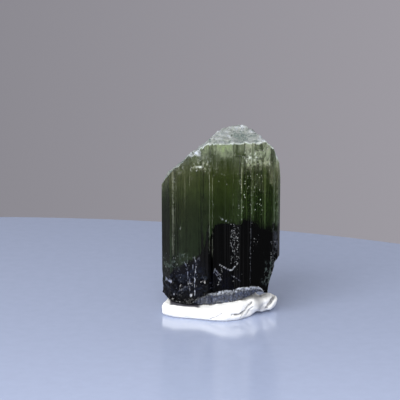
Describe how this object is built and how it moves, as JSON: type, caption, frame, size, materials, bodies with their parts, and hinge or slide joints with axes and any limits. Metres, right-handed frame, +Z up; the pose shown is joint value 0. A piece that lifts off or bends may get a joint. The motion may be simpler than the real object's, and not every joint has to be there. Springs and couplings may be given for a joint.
{
  "type": "tourmaline crystal",
  "caption": "Upright striated green tourmaline crystal with a black foot and a frosted, broken top, stood on a pressed pad of white mounting putty.",
  "frame": {"origin": "middle of the object's footprint box, on the surface the putty pad stands on", "axes": "+Z up along the crystal's growth axis; -Y is the broad striated front; +X is to the right as seen from the front"},
  "size_m": [0.0162, 0.0124, 0.0257],
  "materials": {
    "tourmaline": "gloss",
    "putty": "matte"
  },
  "bodies": {
    "root": {"tourmaline_crystal": "tourmaline", "putty_pad": "putty"}
  },
  "joints": []
}
